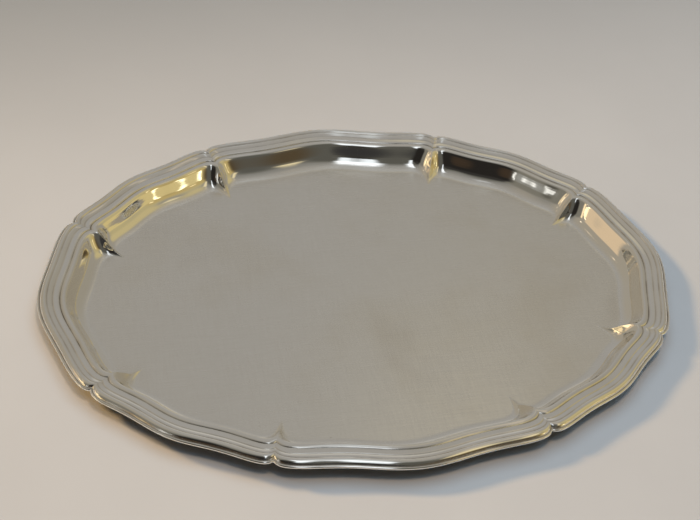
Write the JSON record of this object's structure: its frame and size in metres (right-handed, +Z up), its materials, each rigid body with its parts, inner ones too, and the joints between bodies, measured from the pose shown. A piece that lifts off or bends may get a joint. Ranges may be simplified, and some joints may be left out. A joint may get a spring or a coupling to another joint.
{
  "type": "oval serving tray",
  "caption": "Footless oval serving tray with a flat well, a scooped wall with pointed ridges and a moulded, scalloped border.",
  "frame": {"origin": "centre of the underside, on the plane the tray stands on", "axes": "+X along the length of the oval, +Y to the back, +Z up out of the well"},
  "size_m": [0.36, 0.269, 0.0145],
  "materials": {
    "silver_sheet": "silver, satin with fine scratches in the well, polished on the wall and lip",
    "silver_border": "silver, polished, slightly dulled in the grooves"
  },
  "bodies": {
    "root": {"body": "silver_sheet", "border_right": "silver_border", "border_back_right": "silver_border", "border_back": "silver_border", "border_back_left": "silver_border", "border_left": "silver_border", "border_front_left": "silver_border", "border_front": "silver_border", "border_front_right": "silver_border"}
  },
  "joints": []
}
